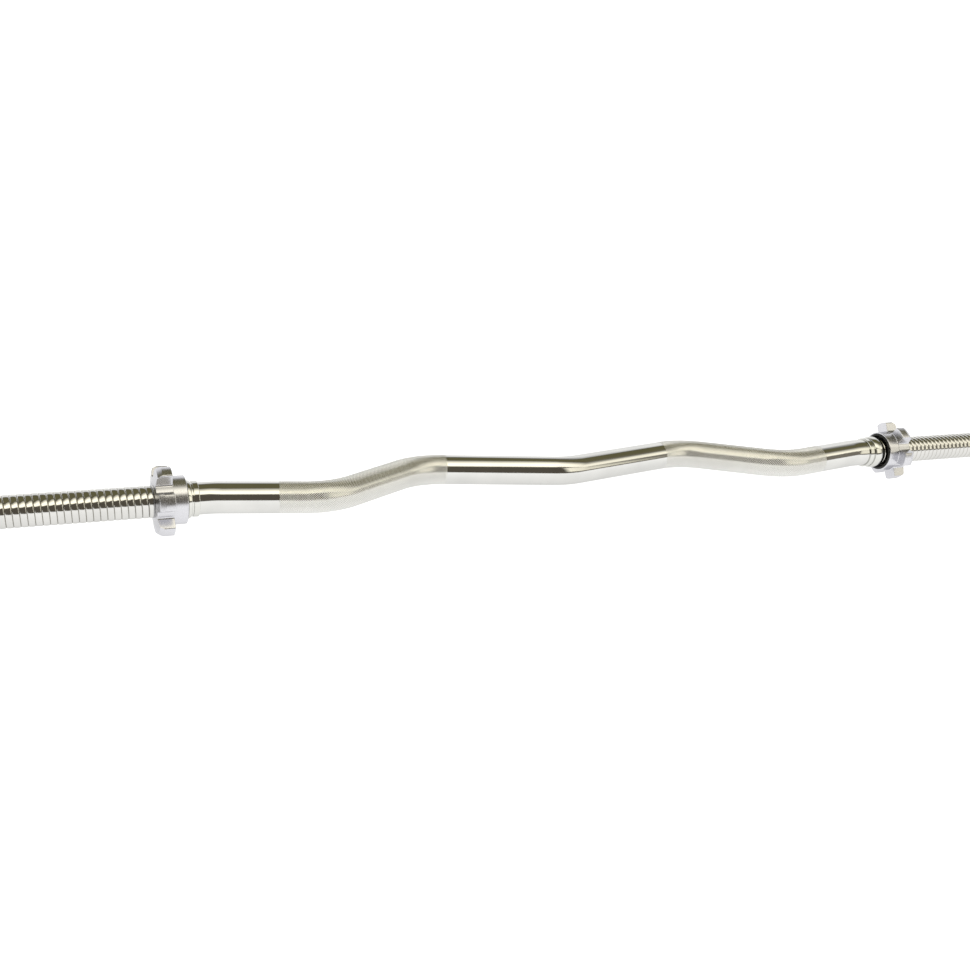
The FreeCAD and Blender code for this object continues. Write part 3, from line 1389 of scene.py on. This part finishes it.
@dataclass(frozen=True)
class FillCard:
    """An upright lit card before the right end of the bar, in metres.

    Attributes:
        left: Place of its left edge on the floor plan.
        right: Place of its right edge.
        low: Height of its lower edge.
        high: Height of its upper edge.
        glow: Its own light at the left and the right edge.
        blur: Share of its width over which the side edges fade.
        least: Share of the glow that is left where an edge has faded.
    """

    left: Pair = (1.0, -2.6)
    right: Pair = (3.7, -2.62)
    low: float = 0.42
    high: float = 2.2
    glow: Pair = (1.6, 1.1)
    blur: float = 0.08
    least: float = 0.1

    def build(self, workshop: Workshop) -> None:
        """Stand the card up, and keep it out of the camera's sight.

        Args:
            workshop: Where objects are made.
        """
        share = np.array([-self.blur, self.blur, 1 - self.blur, 1 + self.blur])[:, None]
        plan = np.array(self.left) + share * (np.array(self.right) - np.array(self.left))
        grid = np.empty((len(share), 2, 3))
        grid[..., :2] = plan[:, None, :]
        grid[..., 2] = [self.low, self.high]
        fade = np.array([self.least, 1, 1, self.least])[:, None]
        card = sheet_object("fill_card", grid, np.interp(share, [0, 1], self.glow) * fade)
        workshop.paint(card, LIT_CLOTH)
        card.visible_camera = False


@dataclass(frozen=True)
class Studio:
    """White floor, a round backdrop, one long soft strip over the front, and a dim olive room.

    Attributes:
        floor_glow: The floor's own light at places along Y, in metres from the bar's axis, with a painted
            shadow under the bar.
        floor_reach: Distance of the floor's edges from the middle, in metres.
        wall_distance: How far the round backdrop stands from the middle.
        wall_top: Height of the backdrop at bearings in degrees from +Y towards +X.
        wall_columns: Points along the backdrop.
        wall_shares: Heights of the last rows of the backdrop, as shares of its height.
        wall_fade: Shares of the glow on those rows.
        wall_glow: The backdrop's own light.
        wall_lift: How far the backdrop's foot lies over the floor.
        cove: Radius between floor and backdrop.
        cove_points: Points on that quarter circle.
        room_front: Linear colour of the room before the bar, left and right.
        room_back: Linear colour of the room over and behind the bar.
        room_turn: Where front changes to back, from 0 straight before the bar to 1 behind it.
        room_right: Where left changes to right, as the X of the direction looked at.
        strip: The lamp over the front.
        card: The fill light at the right.
    """

    # Painted light and shade: the glow is highest near the bar, dips right under it as a painted shadow,
    # and falls off far in front.
    floor_glow: tuple[Pair, ...] = (
        (-4.0, 0.9),
        (-1.2, 1.1),
        (-0.45, 1.33),
        (-0.16, 1.37),
        (-0.08, 1.34),
        (-0.03, 1.27),
        (-0.01, 1.2),
        (0.01, 1.12),
        (0.08, 1.2),
        (0.3, 1.3),
    )
    floor_reach: float = 40.0
    wall_distance: float = 3.4
    wall_top: tuple[Pair, ...] = (
        (-80.0, 2.3),
        (12.0, 2.6),
        (30.0, 2.7),
        (48.0, 3.4),
        (54.0, 3.2),
        (60.0, 2.4),
        (78.0, 2.0),
    )
    wall_columns: int = 80
    wall_shares: tuple[float, ...] = (0.74, 1.0, 1.3)
    wall_fade: tuple[float, ...] = (1.0, 0.55, 0.1)
    wall_glow: float = 1.3
    wall_lift: float = 0.002
    cove: float = 0.8
    cove_points: int = 12
    room_front: tuple[Colour, Colour] = ((0.125, 0.110, 0.085), (0.28, 0.255, 0.21))
    room_back: Colour = (0.180, 0.165, 0.085)
    room_turn: Pair = (0.3, 0.5)
    room_right: Pair = (0.45, 0.75)
    strip: SoftStrip = SoftStrip()
    card: FillCard = FillCard()

    def build_floor(self, workshop: Workshop) -> None:
        """Lay a flat floor with a painted shadow under the bar: its glow is a little lower there.

        Args:
            workshop: Where objects are made.
        """
        y, glow = np.array(self.floor_glow).T
        y = np.concatenate([[-self.floor_reach], workshop.axis.y + y, [self.floor_reach]])
        grid = np.zeros((2, len(y), 3))
        grid[..., 0] = np.array([-self.floor_reach, self.floor_reach])[:, None]
        grid[..., 1] = y
        glow = np.concatenate([glow[:1], glow, glow[-1:]])
        workshop.paint(sheet_object("studio_floor", grid, glow), PAPER)

    def build_wall(self, workshop: Workshop) -> None:
        """Carry the backdrop's section round the bar: a quarter circle and an upright wall that fades out.

        Args:
            workshop: Where objects are made.
        """
        stations, tops = np.array(self.wall_top).T
        degrees = np.linspace(stations[0], stations[-1], self.wall_columns)
        bearings = np.radians(degrees)[:, None]
        top = np.interp(degrees, stations, tops)[:, None] * self.wall_shares
        bow = np.linspace(0, math.pi / 2, self.cove_points)
        foot = np.broadcast_to(self.cove * (1 - np.cos(bow)), (len(top), len(bow)))
        height = np.concatenate([foot, top], axis=1)
        outward = np.append(np.sin(bow), np.ones(len(self.wall_shares)))
        distance = self.wall_distance - self.cove + self.cove * outward
        glow = self.wall_glow * np.append(np.ones(len(bow)), self.wall_fade)
        grid = np.empty((*height.shape, 3))
        grid[..., 0] = np.sin(bearings) * distance
        grid[..., 1] = np.cos(bearings) * distance
        grid[..., 2] = height + self.wall_lift
        workshop.paint(sheet_object("studio_wall", grid, glow), PAPER)

    def build_room(self) -> None:
        """Tint the surroundings: brown before the bar, paler to the right, and olive over and behind it.

        Front and back blend by the Y of the direction looked at, left and right by its X.
        """
        world = bpy.data.worlds.new("studio_room")
        world.use_nodes = True
        tree = world.node_tree
        place = tree.nodes.new("ShaderNodeTexCoord")
        parts = tree.nodes.new("ShaderNodeSeparateXYZ")
        tree.links.new(place.outputs["Generated"], parts.inputs["Vector"])
        half = tree.nodes.new("ShaderNodeMapRange")
        half.inputs["From Min"].default_value = -1.0
        tree.links.new(parts.outputs["Y"], half.inputs["Value"])
        rightward = tree.nodes.new("ShaderNodeMapRange")
        rightward.inputs["From Min"].default_value = self.room_right[0]
        rightward.inputs["From Max"].default_value = self.room_right[1]
        tree.links.new(parts.outputs["X"], rightward.inputs["Value"])
        blend = tree.nodes.new("ShaderNodeMixRGB")
        tree.links.new(rightward.outputs["Result"], blend.inputs["Fac"])
        for entry, front in zip(("Color1", "Color2"), self.room_front):
            ramp = tree.nodes.new("ShaderNodeValToRGB")
            colours = (front, self.room_back)
            for element, position, colour in zip(ramp.color_ramp.elements, self.room_turn, colours):
                element.position = position
                element.color = (*colour, 1.0)
            tree.links.new(half.outputs["Result"], ramp.inputs["Fac"])
            tree.links.new(ramp.outputs["Color"], blend.inputs[entry])
        tree.links.new(blend.outputs["Color"], tree.nodes["Background"].inputs["Color"])
        bpy.context.scene.world = world

    def build(self, workshop: Workshop) -> None:
        """Make floor, backdrop, room and lamp.

        Args:
            workshop: Where objects are made.
        """
        bpy.context.scene.view_settings.view_transform = "Standard"
        self.build_floor(workshop)
        self.build_wall(workshop)
        self.build_room()
        self.strip.build(workshop)
        self.card.build(workshop)


def cad_axis() -> Vector:
    """The middle of the bar's axis: under X zero, in the middle of a collar."""
    low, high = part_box("inner_collar_left")
    return Vector((0, (low.y + high.y) / 2, (low.z + high.z) / 2))


def from_middle(node: str, side: Side) -> tuple[float, float]:
    """Nearest and farthest X of a CAD node from the bar's middle, in millimetres.

    Args:
        node: Name of the CAD node.
        side: The side on which it stands.

    Returns:
        The two distances, the nearer one first.
    """
    low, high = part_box(node)
    near, far = sorted(side.value * corner.x / MM for corner in (low, high))
    return near, far


def report(obj: bpy.types.Object) -> None:
    """Log a piece and its number of triangles."""
    LOG.info("%s: %d triangles", obj.name, len(obj.data.polygons))


def main() -> None:
    """Build the part from the bar outwards, then the studio."""
    logging.basicConfig(level=logging.INFO, format="%(name)s %(message)s")
    workshop = Workshop(cad_axis())
    StudioCamera().build(workshop.axis)
    _, half_length = from_middle("bar", Side.RIGHT)
    for obj in CurlBar(half_length).build(workshop):
        report(obj)
    for side in Side:
        collar_start, _ = from_middle(f"inner_collar_{side.word}", side)
        report(InnerCollar(side, collar_start).build(workshop))
        nose, _ = from_middle(f"star_nut_{side.word}", side)
        report(StarNut(side, nose, NUT_TURNS[side]).build(workshop))
        ring_front, ring_back = from_middle(f"rubber_ring_{side.word}", side)
        report(RubberRing(side, ring_front, ring_back).build(workshop))
    Studio().build(workshop)


if __name__ == "__main__":
    main()
